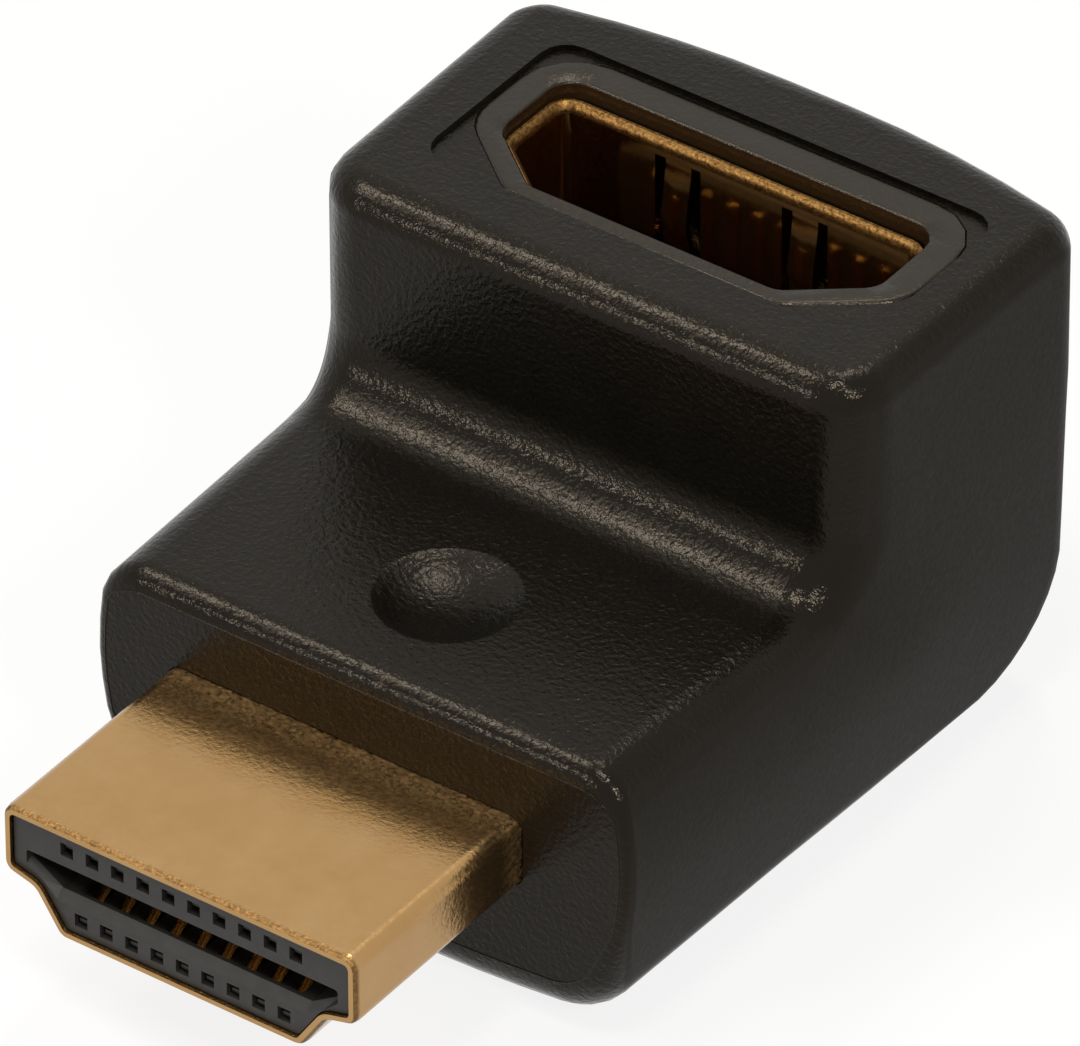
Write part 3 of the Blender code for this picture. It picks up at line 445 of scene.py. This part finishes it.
overmould_black = moulded(
    "overmould plastic", dark=(0.0030, 0.0025, 0.0018), pale=(0.0046, 0.0038, 0.0028),
    roughness=0.26, grain_size=5000.0, grain_pits=0.3, grain_depth=0.000027, flank_grain=0.35,
)
smooth_copy("overmould", overmould_black, OVERMOULD_SHARP_ANGLE)

# Witness line on the front face. It is the low bead that the joint of the mould's front plate
# leaves, and it runs round the face just inside its rounded edges.

BEAD_RADIUS = 0.000035
BEAD_SUNK = 0.00001
PLUG_REACH = 0.0088  # front face of the moulding to the nose of the plug
FACE_TOLERANCE = 0.000002

front_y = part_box("plug_shell")[0][1] + PLUG_REACH
face_points = [(vertex.co.x, vertex.co.z) for vertex in nodes["overmould"].data.vertices
               if abs(vertex.co.y - front_y) < FACE_TOLERANCE]
bead_path = bpy.data.curves.new("front_bead", "CURVE")
bead_path.dimensions = "3D"
bead_path.bevel_depth = BEAD_RADIUS
bead_path.bevel_resolution = 2
spline = bead_path.splines.new("POLY")
around = convex_hull_2d(face_points)
spline.points.add(len(around) - 1)
for knot, index in zip(spline.points, around):
    x, z = face_points[index]
    knot.co = (x, front_y + BEAD_SUNK, z, 1)
spline.use_cyclic_u = True
drawn = bpy.data.objects.new("front_bead_path", bead_path)
bpy.context.scene.collection.objects.link(drawn)
bead_mesh = bpy.data.meshes.new_from_object(
    drawn.evaluated_get(bpy.context.evaluated_depsgraph_get())
)
bpy.data.objects.remove(drawn)
bead_mesh.shade_smooth()
bead_mesh.materials.clear()
bead_mesh.materials.append(overmould_black)
bead = bpy.data.objects.new("front_bead", bead_mesh)
bpy.context.scene.collection.objects.link(bead)
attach(bead, "root")

# Socket bezel. A smooth moulded ring of the same plastic, dark grey and satin, pressed into its
# seat round the socket. It fills the hole and lies level with the recess round it, and its inner
# wall carries a painted brown reflection of the plating beside it.

BEZEL_EDGE_Z = 0.018785  # foot of the rounded outer edge
BEZEL_RIM_Z = 0.018876  # height that this foot is raised to, level with the recess
BEZEL_EDGE_FLATNESS = 0.32
BEZEL_SPREAD = 0.000105
BEZEL_SHARP_ANGLE = 50
OUTWARD_LEAST = 0.05  # a corner whose normal turns out by less belongs to the top or the bottom
BEZEL_GLOSS = 0.3
WALL_FROM = 0.5  # how far up a face looks, where it counts as the wall
WALL_TO = 0.1
WALL_SHEEN = 0.3  # roughness of the wall, as a share of the top's
SHEEN_FROM = 0.2
SHEEN_TO = 0.6
WALL_PAINTED_REFLECTION_BROWN = (0.035, 0.018, 0.007)
WALL_FOOT_DEPTH = 0.0002  # below the rim of the shell
WALL_FADE_DEPTH = 0.0001


def settle_bezel(shape):
    """Flattens the ring's outer edge and spreads its outer wall to its seat."""
    middle = Vector((sum(v.co.x for v in shape.verts), sum(v.co.y for v in shape.verts)))
    middle /= len(shape.verts)
    shape.normal_update()
    outer = []
    for vertex in shape.verts:
        away = vertex.normal.xy
        if away.length > OUTWARD_LEAST and away.dot(vertex.co.xy - middle) > 0:
            outer.append((vertex, away.normalized()))
    for vertex, away in outer:
        if vertex.co.z > BEZEL_EDGE_Z - MERGE_DISTANCE:
            vertex.co.z = BEZEL_RIM_Z + (vertex.co.z - BEZEL_EDGE_Z) * BEZEL_EDGE_FLATNESS
        vertex.co.xy += away * BEZEL_SPREAD


bezel_grey = moulded(
    "bezel plastic", dark=(0.0075, 0.0062, 0.0045), pale=(0.011, 0.0092, 0.007),
    roughness=0.33, grain_size=4600.0, grain_pits=0.4, grain_depth=0.00002, flank_grain=1.0,
)
tree = bezel_grey.node_tree
shader = tree.nodes["Principled BSDF"]
shader.inputs["Specular IOR Level"].default_value = BEZEL_GLOSS
facing_up = facing(tree)["Z"]
moulded_roughness = shader.inputs["Roughness"].links[0].from_socket
tree.links.new(reckon(tree, "MULTIPLY", moulded_roughness,
                      spread(tree, facing_up, SHEEN_FROM, SHEEN_TO, WALL_SHEEN, 1.0)),
               shader.inputs["Roughness"])
height = axes(tree, object_place(tree))["Z"]
# The brown on the inner wall near the shell's rim is a painted reflection of the gold plating.
wall = reckon(tree, "MULTIPLY", spread(tree, facing_up, WALL_FROM, WALL_TO),
              spread(tree, height, SOCKET_RIM_Z - WALL_FOOT_DEPTH, SOCKET_RIM_Z - WALL_FADE_DEPTH))
moulded_colour = shader.inputs["Base Color"].links[0].from_socket
tree.links.new(blend(tree, wall, moulded_colour, WALL_PAINTED_REFLECTION_BROWN), shader.inputs["Base Color"])
smooth_copy("socket_bezel", bezel_grey, BEZEL_SHARP_ANGLE, settle_bezel)

# Studio. A white floor that keeps the adapter's soft shadow, even light from all round, six soft
# lamps overhead, behind and in front, and the camera where the photographer stood.

FLOOR_SIZE = 3.0
FLOOR_GLOW = 0.85  # how much of the floor's white is the backdrop's, for the camera and in gloss
PAPER_WHITE = (0.93, 0.93, 0.93)
BACKDROP_WHITE = (1, 1, 1, 1)
SKY_LIGHT = 0.1
LAMP_WARMTH = (1.0, 0.97, 0.92)
LAMP_DISTANCE = 0.51
LOOKED_AT = Vector((0, 0, 0.01))
CAMERA_PLACE = (0.23995405, -0.32780386, 0.3204794)
CAMERA_ACROSS = Vector((0.80980629, 0.58668487, -0.00382535))
CAMERA_UPWARD = Vector((-0.35254977, 0.49181854, 0.79613013))
SENSOR_WIDTH = 36  # millimetres, as the lens
LENS = 533.33
NEAREST_SEEN = 0.01


def background_rays(tree):
    """1 for the rays that show the white background: the camera's, and those in gloss or glass."""
    path = add_node(tree, "LightPath").outputs
    seen = reckon(tree, "MAXIMUM", path["Is Camera Ray"], path["Is Glossy Ray"])
    return reckon(tree, "MAXIMUM", seen, path["Is Transmission Ray"])


def two_shaders(tree, share, first, second, output):
    """Puts out the first shader where the share is 0 and the second where it is 1."""
    made = add_node(tree, "MixShader")
    for value, socket in zip((share, first, second), made.inputs):
        tree.links.new(value, socket)
    tree.links.new(made.outputs[0], tree.nodes[output].inputs["Surface"])


bpy.ops.mesh.primitive_plane_add(size=FLOOR_SIZE, location=(0, 0, 0))
floor = bpy.context.object
floor.name = "floor"
paper, shader, tree = surface("white paper", PAPER_WHITE, roughness=0.9)
glow = add_node(tree, "Emission", Color=BACKDROP_WHITE, Strength=1.0)
share = reckon(tree, "MULTIPLY", background_rays(tree), FLOOR_GLOW)
two_shaders(tree, share, shader.outputs[0], glow.outputs[0], "Material Output")
floor.data.materials.append(paper)

world = bpy.data.worlds.new("studio")
bpy.context.scene.world = world
world.use_nodes = True
tree = world.node_tree
backdrop = tree.nodes["Background"]
backdrop.inputs["Color"].default_value = BACKDROP_WHITE
backdrop.inputs["Strength"].default_value = 1.0
sky = add_node(tree, "Background", Color=BACKDROP_WHITE, Strength=SKY_LIGHT)
two_shaders(tree, background_rays(tree), sky.outputs[0], backdrop.outputs[0], "World Output")


def soft_lamp(name, turn, height, size, power):
    """A square lamp that far round from the X axis and up from the floor, in degrees."""
    data = bpy.data.lights.new(name, "AREA")
    data.size = size
    data.energy = power
    data.color = LAMP_WARMTH
    lamp = bpy.data.objects.new(name, data)
    bpy.context.scene.collection.objects.link(lamp)
    level = Matrix.Rotation(radians(turn), 3, "Z") @ Matrix.Rotation(radians(-height), 3, "Y")
    lamp.location = LOOKED_AT + level @ Vector((LAMP_DISTANCE, 0, 0))
    lamp.rotation_euler = (LOOKED_AT - lamp.location).to_track_quat("-Z", "Y").to_euler()


soft_lamp("overhead", turn=-70, height=71, size=0.10, power=0.85)
soft_lamp("high left", turn=-160, height=59, size=0.12, power=0.7)
soft_lamp("left", turn=-142, height=46, size=0.12, power=0.2)
soft_lamp("high back", turn=113, height=67, size=0.09, power=0.65)
soft_lamp("front right", turn=-30, height=40, size=0.08, power=0.8)
soft_lamp("front left", turn=-115, height=20, size=0.07, power=0.35)

camera = bpy.data.cameras.new("camera")
camera.sensor_fit = "HORIZONTAL"
camera.sensor_width = SENSOR_WIDTH
camera.lens = LENS
camera.clip_start = NEAREST_SEEN
viewer = bpy.data.objects.new("camera", camera)
bpy.context.scene.collection.objects.link(viewer)
turned = Matrix((CAMERA_ACROSS, CAMERA_UPWARD, CAMERA_ACROSS.cross(CAMERA_UPWARD)))
viewer.matrix_world = turned.transposed().to_4x4()
viewer.matrix_world.translation = CAMERA_PLACE
bpy.context.scene.camera = viewer
bpy.context.scene.view_settings.view_transform = "Standard"
